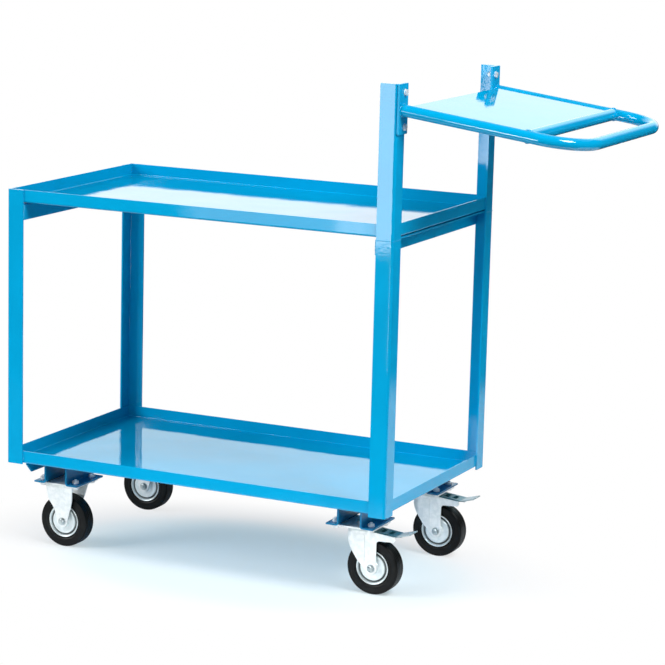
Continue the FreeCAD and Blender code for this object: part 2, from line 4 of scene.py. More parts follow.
import bpy
import numpy as np
from mathutils import Matrix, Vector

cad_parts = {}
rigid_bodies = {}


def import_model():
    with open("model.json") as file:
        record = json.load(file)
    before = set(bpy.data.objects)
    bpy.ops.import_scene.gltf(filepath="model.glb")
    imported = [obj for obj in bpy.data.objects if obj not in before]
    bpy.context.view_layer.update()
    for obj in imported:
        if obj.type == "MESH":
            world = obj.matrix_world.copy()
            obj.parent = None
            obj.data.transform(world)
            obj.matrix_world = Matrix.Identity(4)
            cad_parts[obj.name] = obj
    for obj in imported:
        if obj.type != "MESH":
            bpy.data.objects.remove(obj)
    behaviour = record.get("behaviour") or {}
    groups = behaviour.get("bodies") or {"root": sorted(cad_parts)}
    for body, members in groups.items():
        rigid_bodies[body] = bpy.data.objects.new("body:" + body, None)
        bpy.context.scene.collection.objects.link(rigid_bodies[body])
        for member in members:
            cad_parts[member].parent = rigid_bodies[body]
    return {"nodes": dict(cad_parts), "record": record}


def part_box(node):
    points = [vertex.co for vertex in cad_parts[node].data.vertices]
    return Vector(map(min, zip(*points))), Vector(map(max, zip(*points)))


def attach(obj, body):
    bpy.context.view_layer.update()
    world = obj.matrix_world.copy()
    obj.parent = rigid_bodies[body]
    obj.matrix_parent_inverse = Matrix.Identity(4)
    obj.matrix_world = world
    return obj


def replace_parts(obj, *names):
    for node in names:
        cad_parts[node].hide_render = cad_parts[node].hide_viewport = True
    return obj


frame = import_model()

for stray in [o for o in bpy.data.objects if o.name in ("Cube", "Light", "Camera")]:
    bpy.data.objects.remove(stray)
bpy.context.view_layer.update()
nodes = frame["nodes"]
mm = 0.001
white = (1, 1, 1, 1)
scene = bpy.context.scene
scene.view_settings.view_transform = "Standard"


# a shader socket that takes part in plain arithmetic
class Wire:
    def __init__(self, finish, socket):
        self.finish = finish
        self.socket = socket

    def maths(self, operation, first, second):
        return self.finish.node("ShaderNodeMath", {"operation": operation}, {0: first, 1: second})

    def __add__(self, other):
        return self.maths("ADD", self, other)

    def __radd__(self, other):
        return self.maths("ADD", other, self)

    def __sub__(self, other):
        return self.maths("SUBTRACT", self, other)

    def __rsub__(self, other):
        return self.maths("SUBTRACT", other, self)

    def __mul__(self, other):
        return self.maths("MULTIPLY", self, other)

    def __rmul__(self, other):
        return self.maths("MULTIPLY", other, self)

    def __truediv__(self, other):
        return self.maths("DIVIDE", self, other)

    def __rtruediv__(self, other):
        return self.maths("DIVIDE", other, self)

    def __pow__(self, other):
        return self.maths("POWER", self, other)

    def __rpow__(self, other):
        return self.maths("POWER", other, self)

    # the larger of two values
    def atLeast(self, other):
        return self.maths("MAXIMUM", self, other)

    # 0 below low, 1 above high, smooth between
    def rise(self, low, high):
        return self.finish.node("ShaderNodeMapRange", {"interpolation_type": "SMOOTHSTEP"},
                                {"Value": self, "From Min": low, "From Max": high})

    # another output of the node that this one comes from
    def also(self, output):
        return Wire(self.finish, self.socket.node.outputs[output])


# the nodes of a material or of the world
class Graph:
    def __init__(self, tree):
        self.tree = tree

    def node(self, kind, settings, inputs, output=0):
        made = self.tree.nodes.new(kind)
        for key, value in settings.items():
            setattr(made, key, value)
        for key, value in inputs.items():
            self.feed(made.inputs[key], value)
        return Wire(self, made.outputs[output])

    def feed(self, socket, value):
        if isinstance(value, Wire):
            self.tree.links.new(value.socket, socket)
        else:
            socket.default_value = value

    # two colours mixed: sockets 6 and 7 are the node's colours, and 2 is its colour result
    def blend(self, factor, first, second):
        return self.node("ShaderNodeMix", {"data_type": "RGBA"}, {0: factor, 6: first, 7: second}, 2)


# a material with its principled shader
class Finish(Graph):
    def __init__(self, name, constants):
        self.material = bpy.data.materials.new(name)
        self.material.use_nodes = True
        Graph.__init__(self, self.material.node_tree)
        self.shader = self.tree.nodes["Principled BSDF"]
        for key, value in constants.items():
            self.shader.inputs[key].default_value = value
        self.place = self.node("ShaderNodeTexCoord", {}, {}, "Object")

    def noise(self, scale, detail, stretch=None):
        place = self.place
        if stretch:
            place = self.node("ShaderNodeMapping", {}, {"Vector": place, "Scale": stretch})
        return self.node("ShaderNodeTexNoise", {}, {"Vector": place, "Scale": scale, "Detail": detail})

    # relief of a height, laid over another relief where one is given
    def bump(self, height, strength, distance, under=None):
        inputs = {"Height": height, "Strength": strength, "Distance": distance}
        if under:
            inputs["Normal"] = under
        return self.node("ShaderNodeBump", {}, inputs)

    def attribute(self, name):
        return self.node("ShaderNodeAttribute", {"attribute_name": name}, {}, "Fac")

    def use(self, key, value):
        self.feed(self.shader.inputs[key], value)


# Finishes: scales are in cells per metre
bluePaintLook = {
    "color": (0.0006, 0.36, 0.665, 1),
    "deep": (0.0005, 0.336, 0.625, 1),
    "driftScale": 6.0,             # slow change between the two blues
    "driftEdges": (0.35, 0.65),
    "roughness": 0.02,
    "smudgeScale": 35.0,
    "smudge": 0.03,                # roughness that smudges add
    "grainScale": 2400.0,
    "grain": 0.01,                 # roughness that the grain adds
    "grainRelief": 0.1,            # height of the grain against the peel
    "peelScale": 170.0,            # orange peel
    "peelHeight": 0.05 * mm,
    "waveScale": 7.0,              # slow waves of sheet that was folded cold
    "waveHeight": 0.25 * mm,
    "gloss": 0.7,
}
# the castor brackets' blue is darkened: painted shade for their place under the lower tray
bracketShadedPaintLook = {**bluePaintLook, "color": (0.0005, 0.19, 0.38, 1), "deep": (0.0005, 0.15, 0.31, 1),
                    "roughness": 0.2, "gloss": 0.3}
endPlatePaintLook = {**bluePaintLook, "roughness": 0.3, "gloss": 0.3}
trayPaintLook = {**bluePaintLook, "waveScale": 8.0, "waveHeight": 0.8 * mm, "gloss": 0.5}


# powder coat: two close blues, smudged gloss, orange peel over slow waves
def bluePaint(name, look):
    f = Finish(name, {"Specular IOR Level": look["gloss"]})
    drift = f.noise(look["driftScale"], detail=3.0)
    f.use("Base Color", f.blend(drift.rise(*look["driftEdges"]), look["deep"], look["color"]))
    grain = f.noise(look["grainScale"], detail=1.0)
    smudge = f.noise(look["smudgeScale"], detail=4.0)
    f.use("Roughness", look["roughness"] + look["smudge"] * smudge + look["grain"] * grain)
    peelRelief = f.noise(look["peelScale"], detail=1.0) + look["grainRelief"] * grain
    peel = f.bump(peelRelief, 1.0, look["peelHeight"])
    f.use("Normal", f.bump(f.noise(look["waveScale"], detail=1.0), 1.0, look["waveHeight"], peel))
    return f.material


platedLook = {
    "cloudScale": 90.0,
    "cloudEdges": (0.3, 0.7),
    "cloudRough": 0.14,            # roughness that the clouds add
    "rolledScale": 60.0,
    "rolledStretch": (1.0, 1.0, 14.0),
    "rolledRough": 0.05,           # roughness that rolling lines add
    "rolledRelief": 0.6,           # height of rolling lines against the grain
    "grainScale": 1500.0,
    "bump": 0.12,
    "bumpHeight": 0.04 * mm,
    # painted shade for the rim's groove
    "grooveShade": (0.035, 0.045, 0.05, 1),
}
zincLook = {**platedLook, "color": (0.90, 0.93, 0.93, 1), "shade": (0.76, 0.81, 0.815, 1),
            "roughness": 0.30, "metallic": 0.35}
rimLook = {**platedLook, "color": (0.82, 0.88, 0.885, 1), "shade": (0.69, 0.77, 0.78, 1),
           "roughness": 0.22, "metallic": 0.5}
boltLook = {**platedLook, "color": (0.93, 0.95, 0.955, 1), "shade": (0.78, 0.82, 0.83, 1),
            "roughness": 0.22, "metallic": 0.35}
axleLook = {**platedLook, "color": (0.60, 0.66, 0.67, 1), "shade": (0.34, 0.40, 0.41, 1),
            "roughness": 0.2, "metallic": 0.9}
steelLook = {**platedLook, "color": (0.40, 0.41, 0.42, 1), "shade": (0.30, 0.31, 0.32, 1),
             "roughness": 0.34, "metallic": 1.0}


# plated or bare metal: cloudy colour, rolling lines and fine grain, with painted shade where the attribute asks for
# it
def zincPlate(name, look, grooveShaded=False):
    f = Finish(name, {"Metallic": look["metallic"]})
    cloud = f.noise(look["cloudScale"], detail=5.0)
    rolled = f.noise(look["rolledScale"], 3.0, look["rolledStretch"])
    color = f.blend(cloud.rise(*look["cloudEdges"]), look["shade"], look["color"])
    if grooveShaded:
        color = f.blend(f.attribute("grooveShadeMask"), color, look["grooveShade"])
    f.use("Base Color", color)
    f.use("Roughness", look["roughness"] + look["cloudRough"] * cloud + look["rolledRough"] * rolled)
    relief = f.noise(look["grainScale"], detail=3.0) + look["rolledRelief"] * rolled
    f.use("Normal", f.bump(relief, look["bump"], look["bumpHeight"]))
    return f.material


rubberLook = {
    "color": (0.0018, 0.0026, 0.0028, 1),
    "dust": (0.0075, 0.009, 0.009, 1),
    "dustScale": 45.0,
    "dustEdges": (0.5, 0.85),
    "roughness": 0.3,
    "patchScale": 220.0,
    "patch": 0.16,                 # roughness that duller patches add
    "grainScale": 1800.0,
    "bump": 0.25,
    "bumpHeight": 0.06 * mm,
    "gloss": 0.2,
}


# black rubber with a film of dust, duller patches and a fine grain
def blackRubber(look):
    f = Finish("blackRubber", {"Specular IOR Level": look["gloss"]})
    dust = f.noise(look["dustScale"], detail=6.0).rise(*look["dustEdges"])
    f.use("Base Color", f.blend(dust, look["color"], look["dust"]))
    f.use("Roughness", look["roughness"] + look["patch"] * f.noise(look["patchScale"], detail=3.0))
    f.use("Normal", f.bump(f.noise(look["grainScale"], detail=3.0), look["bump"], look["bumpHeight"]))
    return f.material


pedalLook = {
    "color": (0.026, 0.125, 0.155, 1),
    "worn": (0.11, 0.25, 0.28, 1),
    "toe": (0.36, 0.47, 0.50, 1),
    "toeStart": (0.271, 0.281),    # metres along the frame; lighter beyond the knee
    "toeWander": 0.012,
    "rubScale": 110.0,
    "rubEdges": (0.52, 0.75),
    "roughness": 0.25,
    "patchScale": 260.0,
    "patch": 0.15,                 # roughness that duller patches add
    "grainScale": 900.0,
    "bump": 0.2,
    "bumpHeight": 0.05 * mm,
    "metallic": 0.25,
    "gloss": 0.5,
}


# dark coat rubbed lighter in patches, and lighter at the toe beyond a ragged line
def pedalCoat(look):
    f = Finish("pedalCoat", {"Metallic": look["metallic"], "Specular IOR Level": look["gloss"]})
    rub = f.noise(look["rubScale"], detail=6.0)
    along = f.node("ShaderNodeSeparateXYZ", {}, {0: f.place}) + look["toeWander"] * (rub - 0.5)
    coat = f.blend(rub.rise(*look["rubEdges"]), look["color"], look["worn"])
    f.use("Base Color", f.blend(along.rise(*look["toeStart"]), coat, look["toe"]))
    f.use("Roughness", look["roughness"] + look["patch"] * f.noise(look["patchScale"], detail=3.0))
    f.use("Normal", f.bump(f.noise(look["grainScale"], detail=3.0), look["bump"], look["bumpHeight"]))
    return f.material


blue = bluePaint("bluePowderCoat", bluePaintLook)
# copy of the blue for the castor brackets, darkened as painted shade
bracketShadedBlue = bluePaint("bracketShadedPowderCoat", bracketShadedPaintLook)
plateBlue = bluePaint("platePowderCoat", endPlatePaintLook)
trayBlue = bluePaint("trayPowderCoat", trayPaintLook)
zinc = zincPlate("zincPlate", zincLook)
rimZinc = zincPlate("rimZinc", rimLook, True)
boltZinc = zincPlate("boltZinc", boltLook)
axleZinc = zincPlate("axleZinc", axleLook)
turnedSteel = zincPlate("turnedSteel", steelLook)
rubber = blackRubber(rubberLook)
pedalTeal = pedalCoat(pedalLook)
bySlot = {"blue_paint": blue, "zinc_steel": zinc, "zinc_rim": rimZinc, "zinc_fasteners": boltZinc,
          "steel_bush": turnedSteel, "dark_pedal": pedalTeal, "black_rubber": rubber}
byName = {"bracket": bracketShadedBlue, "handle_plate": plateBlue, "tray": trayBlue}      # these go before the slots
for part in frame["record"]["subparts"]:
    dressed = nodes[part["node"]].data.materials
    dressed.clear()
    chosen = [finish for key, finish in byName.items() if key in part["node"]]
    dressed.append((chosen or [bySlot[part["material_slot"]]])[0])
print("finishes:", len([*bySlot.values(), *byName.values(), axleZinc]))


# a mesh from points and sets of faces of one size each, turned right side out by its signed volume
def addPiece(name, points, faceSets, finish, slot, body, sharpAngle=35.0):
    fans = [np.stack([f[:, [0] * (f.shape[1] - 2)], f[:, 1:-1], f[:, 2:]], -1) for f in faceSets]
    triangles = np.concatenate([fan.reshape(-1, 3) for fan in fans])
    a, b, c = (points[triangles[:, k]] for k in range(3))
    if np.einsum("ij,ij->", a, np.cross(b, c)) < 0:
        faceSets = [f[:, ::-1] for f in faceSets]
    corners = np.concatenate([f.ravel() for f in faceSets]).astype(np.int32)
    sizes = np.concatenate([np.full(len(f), f.shape[1]) for f in faceSets])
    starts = np.concatenate([[0], np.cumsum(sizes)[:-1]]).astype(np.int32)
    mesh = bpy.data.meshes.new(name)
    mesh.vertices.add(len(points))
    mesh.vertices.foreach_set("co", np.ascontiguousarray(points, np.float32).ravel())
    mesh.loops.add(len(corners))
    mesh.loops.foreach_set("vertex_index", corners)
    mesh.polygons.add(len(sizes))
    mesh.polygons.foreach_set("loop_start", starts)
    mesh.update(calc_edges=True)
    mesh.validate()
    mesh.polygons.foreach_set("use_smooth", np.ones(len(mesh.polygons), bool))
    mesh.set_sharp_from_angle(angle=math.radians(sharpAngle))
    mesh.materials.append(finish)
    piece = bpy.data.objects.new(name, mesh)
    scene.collection.objects.link(piece)
    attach(piece, body)
    return piece


# quads of a rows by columns grid, joined round where asked
def gridFaces(rows, columns, closeRows=False, closeColumns=False):
    i, j = np.meshgrid(np.arange(rows - (not closeRows)), np.arange(columns - (not closeColumns)),
                       indexing="ij")
    i, j = i.ravel(), j.ravel()
    up, right = (i + 1) % rows, (j + 1) % columns
    return np.stack([i * columns + j, i * columns + right, up * columns + right, up * columns + j], -1)


# quads round a run of rings, with a flat cap on the first and on the last
def tubeFaces(rows, columns):
    ring = np.arange(columns)
    return [gridFaces(rows, columns, False, True), np.stack([ring[::-1], ring + (rows - 1) * columns])]


# equal angles once round
def fullTurn(steps):
    return np.linspace(0, 2 * math.pi, steps, endpoint=False)


# profile of (radius, distance along the axle) turned once round the Y axis
def turnRound(profile, centre, steps):
    turn = fullTurn(steps)
    radius, along = profile[:, :1], profile[:, 1:]
    points = np.stack([radius * np.cos(turn), along + 0 * turn, radius * np.sin(turn)], -1)
    return points.reshape(-1, 3) * mm + np.array(centre), [gridFaces(len(profile), steps, True, True)]


# several point and face sets joined into one
def joined(parts):
    points, faces, offset = [], {}, 0
    for partPoints, faceSets in parts:
        for f in faceSets:
            faces.setdefault(f.shape[1], []).append(f + offset)
        points.append(partPoints)
        offset += len(partPoints)
    return np.concatenate(points), [np.concatenate(group) for group in faces.values()]


# a half section followed by its mirror image, end to start, without a second copy of points on the mirror
def mirrored(half):
    image = half[::-1] * [1, -1]
    return np.concatenate([half, image[image[:, 1] != 0]])


# Wheels, in millimetres
tyreShape = {"radius": 64.0, "halfWidth": 18.5, "bead": 36.7, "seat": 12.8, "grooves": (4.2, 10.6),
             "grooveDepth": 1.3, "grooveHalf": 0.8, "flat": 14.2, "flatGap": 0.3, "crown": 0.2, "shoulder": 6.0,
             "shoulderSteps": 18, "treadSteps": 60, "steps": 160, "sharp": 50,
             "sidewall": [(37.2, 13.6), (39.8, 16.3), (40.6, 17.0), (42.6, 17.4), (45.0, 17.5), (45.5, 18.0),
                          (46.7, 18.0), (47.2, 17.6), (51.0, 18.1), (55.0, 18.4)]}


# half section: bead seat, sidewall with one raised ring, elliptic shoulder and a grooved tread
def tyreProfile(s):
    inner = np.array([(s["bead"], 0.0), (s["bead"], s["seat"]), *s["sidewall"]])
    lean = np.linspace(math.pi / 2, 0, s["shoulderSteps"])
    shoulder = np.stack([s["radius"] - s["crown"] - s["shoulder"] * (1 - np.cos(lean)),
                         s["flat"] + (s["halfWidth"] - s["flat"]) * np.sin(lean)], -1)
    y = np.linspace(s["flat"] - s["flatGap"], 0.0, s["treadSteps"])
    r = s["radius"] - s["crown"] * (y / s["flat"]) ** 2
    for middle in s["grooves"]:
        r = r - s["grooveDepth"] * np.clip(1 - np.abs(y - middle) / s["grooveHalf"], 0, 1) ** 0.5
    return mirrored(np.concatenate([inner, shoulder, np.stack([r, y], -1)]))


# half section: bead seat, rolled lip, deep groove, dished disc, hub collar and bore
rimShape = {"seat": [(36.6, 0), (36.6, 12.9), (37.1, 13.7), (39.4, 16.0)],
            "lip": [(39.9, 16.9), (40.0, 17.8), (39.6, 18.4), (38.9, 18.5), (38.1, 18.2), (37.2, 17.4)],
            "groove": [(36.2, 16.2), (35.4, 14.2), (34.9, 12.0), (34.2, 10.6), (33.2, 10.2), (32.2, 10.6),
                       (31.6, 12.2), (31.2, 14.6), (30.6, 16.1), (29.7, 16.8)],
            "disc": [(28.4, 17.0), (24.0, 16.5), (18.0, 16.0), (16.4, 16.0)],
            "collar": [(15.4, 16.6), (14.7, 17.8), (14.3, 19.0), (14.0, 19.9), (13.4, 20.4), (12.8, 20.5),
                       (11.05, 20.5)],
            "grooveShadeMiddle": 33.2, "grooveShadeReach": 2.2, "grooveShadeLevel": 1.3, "steps": 128, "sharp": 60}


def rimProfile(s):
    return mirrored(np.array(s["seat"] + s["lip"] + s["groove"] + s["disc"] + s["collar"]))


# painted shade on each ring of the rim: full round the groove's radius, and falling off evenly to both sides
def rimGrooveShade(s):
    rings = np.clip(s["grooveShadeLevel"] - np.abs(rimProfile(s)[:, 0] - s["grooveShadeMiddle"]) / s["grooveShadeReach"], 0, 1)
    return np.repeat(rings, s["steps"]).astype(np.float32)


# Fasteners, drawn in millimetres along Z from their seat at zero
boltShape = {"radius": 4.0, "pitch": 1.25, "flats": 13.0, "head": 5.3, "nut": 6.5, "sunk": 1.0, "past": 3.0,
             "washer": 1.4, "washerRadius": 8.0}
thinBoltShape = {**boltShape, "head": 3.9}
axleShape = {"radius": 4.0, "pitch": 1.25, "flats": 14.0, "head": 5.0, "nut": 5.5, "sunk": 1.0, "past": 1.5,
             "washer": 1.2, "washerRadius": 9.5, "overlap": 0.3}
turningShape = {"pole": 0.02, "crown": 0.97, "chamfer": math.radians(30), "soft": 0.3, "threadDepth": 0.55,
                "threadTip": 0.88, "stepsPerPitch": 6, "leastSteps": 6}


# hexagon: radius is the flat's distance over the cosine from the flat's middle, its top edge cut back by a cone
def hexRings(flats, low, high, steps=48):
    turn = fullTurn(steps)
    level = 0 * turn
    pole = turningShape["pole"] + level
    edge = flats / 2 / np.cos((turn + math.pi / 6) % (math.pi / 3) - math.pi / 6)
    crown = flats / 2 * turningShape["crown"]
    drop = (edge - crown) * math.tan(turningShape["chamfer"])
    rings = [(pole, low + level), (edge, low + level), (edge, high - drop), (crown + level, high + level),
             (pole, high + level)]
    points = np.stack([np.stack([r * np.cos(turn), r * np.sin(turn), z], -1) for r, z in rings])
    return points.reshape(-1, 3), tubeFaces(len(rings), steps)


# stud end: radius follows a triangle wave that climbs one pitch a turn
def threadEnd(radius, pitch, low, high, steps=32):
    s = turningShape
    turn = fullTurn(steps)
    rows = max(s["leastSteps"], int((high - low) / pitch * s["stepsPerPitch"]))
    z = np.linspace(low, high, rows)[:, None]
    wave = np.abs(((z / pitch - turn / (2 * math.pi)) % 1.0) * 2 - 1)
    taper = np.clip((high - z) / pitch, 0, 1)
    r = (radius - s["threadDepth"] * pitch * wave) * (s["threadTip"] + (1 - s["threadTip"]) * taper)
    rings = np.stack([r * np.cos(turn), r * np.sin(turn), z + 0 * turn], -1)
    caps = np.stack([np.stack([s["pole"] * np.cos(turn), s["pole"] * np.sin(turn), level + 0 * turn], -1)
                     for level in (low, high)])
    points = np.concatenate([caps[:1], rings, caps[1:]])
    return points.reshape(-1, 3), tubeFaces(len(points), steps)


# disc or pin with softened edges, turned round the Z axis
def washer(outer, low, high, steps=40):
    pole, soft = turningShape["pole"], min(turningShape["soft"], (high - low) / 3)
    profile = [(pole, low), (outer - soft, low), (outer, low + soft), (outer, high - soft), (outer - soft, high),
               (pole, high)]
    turn = fullTurn(steps)
    points = np.stack([np.stack([r * np.cos(turn), r * np.sin(turn), z + 0 * turn], -1) for r, z in profile])
    return points.reshape(-1, 3), tubeFaces(len(profile), steps)


# a fastener laid along another axis and moved to its seat
def seated(parts, axes, seat):
    points, faces = joined(parts)
    return points @ np.array(axes, float) * mm + np.array(seat), faces


upAxes = [(1, 0, 0), (0, 1, 0), (0, 0, 1)]
downAxes = [(1, 0, 0), (0, -1, 0), (0, 0, -1)]
leftAxes = [(1, 0, 0), (0, 0, 1), (0, -1, 0)]
rightAxes = [(1, 0, 0), (0, 0, -1), (0, 1, 0)]
outAxes = [(0, 1, 0), (0, 0, 1), (1, 0, 0)]
inAxes = [(0, -1, 0), (0, 0, 1), (-1, 0, 0)]


# washer with a hexagon head on it
def headParts(s):
    return [washer(s["washerRadius"], 0, s["washer"]),
            hexRings(s["flats"], s["washer"], s["head"] + s["washer"])]


# washer with a nut on it and the thread end standing out
def nutParts(s):
    return [washer(s["washerRadius"], 0, s["washer"]), hexRings(s["flats"], s["washer"], s["nut"]),
            threadEnd(s["radius"], s["pitch"], s["nut"] - s["sunk"], s["nut"] + s["past"])]


# head at one end, nut at the other, and a pin between them that reaches into both washers
def axleParts(s, hub, low, high):
    headSeat = (hub[0], high - (s["head"] + s["washer"]) * mm, hub[2])
    nutSeat = (hub[0], low + (s["nut"] + s["past"]) * mm, hub[2])
    length = (headSeat[1] - nutSeat[1]) / mm
    spindle = washer(s["radius"], -s["overlap"], length + s["overlap"])
    return joined([seated(headParts(s), rightAxes, headSeat), seated(nutParts(s), leftAxes, nutSeat),
                   seated([spindle], rightAxes, nutSeat)])


places = ("front_left", "front_right", "rear_left", "rear_right")
for place in places:
    low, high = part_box(place + "_tyre")
    hub = tuple((low + high) / 2)
    body = place + "_wheel"
    tyre = addPiece(place + "_tyreRubber", *turnRound(tyreProfile(tyreShape), hub, tyreShape["steps"]), rubber,
                    "black_rubber", body, tyreShape["sharp"])
    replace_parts(tyre, place + "_tyre")
    rim = addPiece(place + "_rimPressing", *turnRound(rimProfile(rimShape), hub, rimShape["steps"]), rimZinc,
                   "zinc_rim", body, rimShape["sharp"])
    # the rim's groove darkened with painted shade
    grooveShadeMask = rim.data.attributes.new("grooveShadeMask", "FLOAT", "POINT")
    grooveShadeMask.data.foreach_set("value", rimGrooveShade(rimShape))
    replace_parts(rim, place + "_rim")
    low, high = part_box(place + "_axle")
    axleBody = "frame" if place.startswith("front") else place + "_swivel"
    axle = addPiece(place + "_axleBolt", *axleParts(axleShape, hub, low[1], high[1]), axleZinc,
                    "zinc_fasteners", axleBody)
    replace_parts(axle, place + "_axle")
print("wheels:", len(places))

# Castor bolts: heads under the plates, washers, nuts and thread ends on the bracket flanges
castorBolts = {"along": 45.0, "across": 38.0, "flange": 4.0}
castorHeads, castorNuts = [], []
for place in places:
    plateLow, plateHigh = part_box(place + "_plate")
    middle = (plateLow + plateHigh) / 2
    flangeTop = plateHigh[2] + castorBolts["flange"] * mm
    for dx in (-castorBolts["along"], castorBolts["along"]):
        for dy in (-castorBolts["across"], castorBolts["across"]):
            x, y = middle[0] + dx * mm, middle[1] + dy * mm
            castorHeads.append(seated(headParts(boltShape), downAxes, (x, y, plateLow[2])))
            castorNuts.append(seated(nutParts(boltShape), upAxes, (x, y, flangeTop)))

# Handle bolts through the end plates and the posts
handleBolts = {"fromTop": 20.0, "fromFoot": 16.0, "across": 261.0, "angle": 4.0}
handleHeads, handleNuts = [], []
plateLow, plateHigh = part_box("handle_plate_left")
insideFace = plateLow[0] - handleBolts["angle"] * mm
for y in (-handleBolts["across"] * mm, handleBolts["across"] * mm):
    for level in (plateHigh[2] - handleBolts["fromTop"] * mm, plateLow[2] + handleBolts["fromFoot"] * mm):
        handleHeads.append(seated(headParts(thinBoltShape), outAxes, (plateHigh[0], y, level)))
        handleNuts.append(seated(nutParts(boltShape), inAxes, (insideFace, y, level)))
for name, parts, node in (("castorBoltHeads", castorHeads, "castor_bolts"),
                          ("castorNutStack", castorNuts, "castor_nuts"),
                          ("handleBoltHeads", handleHeads, "handle_bolts"),
                          ("handleNutStack", handleNuts, "handle_nuts")):
    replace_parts(addPiece(name, *joined(parts), boltZinc, "zinc_fasteners", "frame"), node)
print("fasteners:", len(castorHeads) + len(handleHeads))

# Faces of the frame that the next pieces are measured from, in millimetres
frameLow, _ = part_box("upright_front_left")
_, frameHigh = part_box("upright_rear_right")
noseFace, pushFace, sideFace = frameLow[0] / mm, frameHigh[0] / mm, frameHigh[1] / mm
upperBase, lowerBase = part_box("upper_tray")[0][2] / mm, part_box("lower_tray")[0][2] / mm
postFoot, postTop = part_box("post_left")[0][2] / mm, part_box("post_left")[1][2] / mm
ends = ((noseFace, 1), (pushFace, -1))      # each end's face and the way inwards

# Upper cross angles: folded section held just under the tray, top flange outwards, hung from the uprights
crossShape = {"edge": 7.0, "heel": 44.0, "top": 3.0, "foot": 42.0, "sheet": 4.0, "bend": 2.0, "soft": 0.8,
              "half": 286.0, "edgeSteps": 5, "outerSteps": 12, "innerSteps": 8}


# arc points of a rounded corner, from one angle to another in degrees
def arcPoints(x, z, radius, start, end, steps):
    angle = np.radians(np.linspace(start, end, steps))
    return np.stack([x + radius * np.cos(angle), z + radius * np.sin(angle)], -1)


# closed outline of a folded angle: straight runs between its bend's two arcs and four softened edges
def crossSection(s):
    outer, inner, soft = s["bend"] + s["sheet"], s["bend"], s["soft"]
    top, under, heel, back = -s["top"], -s["top"] - s["sheet"], s["heel"], s["heel"] - s["sheet"]
    tip, foot, steps = s["edge"] + soft, soft - s["foot"], s["edgeSteps"]
    return np.concatenate([
        arcPoints(tip, top - soft, soft, 180, 90, steps),
        arcPoints(heel - outer, top - outer, outer, 90, 0, s["outerSteps"]),
        arcPoints(heel - soft, foot, soft, 0, -90, steps),
        arcPoints(back + soft, foot, soft, -90, -180, steps),
        arcPoints(back - inner, under - inner, inner, 0, 90, s["innerSteps"]),
        arcPoints(tip, under + soft, soft, -90, -180, steps)])


# section drawn from an end of the frame and run across it
def acrossFrame(section, end, inward, base, half):
    rows = [np.stack([end + inward * section[:, 0], np.full(len(section), y), base + section[:, 1]], -1)
            for y in (-half, half)]
    return np.concatenate(rows), tubeFaces(2, len(section))


for node, (end, inward) in zip(("upper_front_cross", "upper_rear_cross"), ends):
    points, faces = acrossFrame(crossSection(crossShape), end, inward, upperBase, crossShape["half"])
    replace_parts(addPiece(node + "Angle", points * mm, faces, blue, "blue_paint", "frame"), node)
print("cross angles:", len(ends))

# Weld beads, in millimetres: radii, ripple lengths and places of each kind
beadShape = {"ripple": 0.13, "wander": 0.05, "wanderLength": 7.3, "taper": 1.5, "tip": 0.003, "sides": 10,
             "step": 0.5, "leastSteps": 8, "sharp": 60}


# evenly spaced points from start to end
def straight(start, end):
    start, end = np.asarray(start, float), np.asarray(end, float)
    count = max(beadShape["leastSteps"], int(np.linalg.norm(end - start) / beadShape["step"]))
    return start + np.linspace(0, 1, count)[:, None] * (end - start)


# a round run along a path, its radius rippled along the length and drawn in at open ends
def bead(path, up, radius, ripple=2.2, closed=False):
    s = beadShape
    path, up = np.asarray(path, float), np.asarray(up, float)
    if closed:
        along = np.roll(path, -1, 0) - np.roll(path, 1, 0)
    else:
        along = np.gradient(path, axis=0)
    along /= np.linalg.norm(along, axis=1)[:, None]
    side = np.cross(along, up)
    side /= np.linalg.norm(side, axis=1)[:, None]
    over = np.cross(side, along)
    run = np.concatenate([[0], np.cumsum(np.linalg.norm(np.diff(path, axis=0), axis=1))])
    size = radius * (1 + s["ripple"] * np.sin(2 * math.pi * run / ripple)
                     + s["wander"] * np.sin(2 * math.pi * run / s["wanderLength"]))
    if not closed:
        reach = np.minimum(run, run[-1] - run) / (s["taper"] * radius)
        size = size * np.sqrt(np.clip(reach, s["tip"], 1))
    turn = fullTurn(s["sides"])[None, :, None]
    ring = np.cos(turn) * side[:, None] + np.sin(turn) * over[:, None]
    points = path[:, None] + size[:, None, None] * ring
    if closed:
        return points.reshape(-1, 3), [gridFaces(len(path), s["sides"], True, True)]
    return points.reshape(-1, 3), tubeFaces(len(path), s["sides"])


trayWeldShape = {"edge": 42.4, "face": 3.6, "lip": 1.6, "lipFoot": 5.0, "lipTop": 28.0,
                 "inside": 6.2, "corner": 1.5, "cornerFoot": 3.0, "cornerTop": 29.0}


# tray lips to the uprights' edges, and the ground corners inside the trays
def trayWelds(s):
    runs = []
    for base in (upperBase, lowerBase):
        for end, inward in ends:
            for hand in (-1, 1):
                for along, across, up in ((s["edge"], s["face"], (1, 0, 0)), (s["face"], s["edge"], (0, 1, 0))):
                    x, y = end + inward * along, hand * (sideFace - across)
                    lip = straight((x, y, base + s["lipFoot"]), (x, y, base + s["lipTop"]))
                    runs.append(bead(lip, up, s["lip"]))
                x, y = end + inward * s["inside"], hand * (sideFace - s["inside"])
                corner = straight((x, y, base + s["cornerFoot"]), (x, y, base + s["cornerTop"]))
                runs.append(bead(corner, (1, 0, 0), s["corner"]))
    return runs


postWeldShape = {"sunk": 0.5, "heel": 1.5, "edge": 41.5, "seam": 1.0, "seamRipple": 1.7,
                 "crossAlong": 43.0, "crossAcross": 3.2, "crossTop": 4.0, "crossFoot": 41.0, "cross": 2.1,
                 "crossRipple": 3.1}


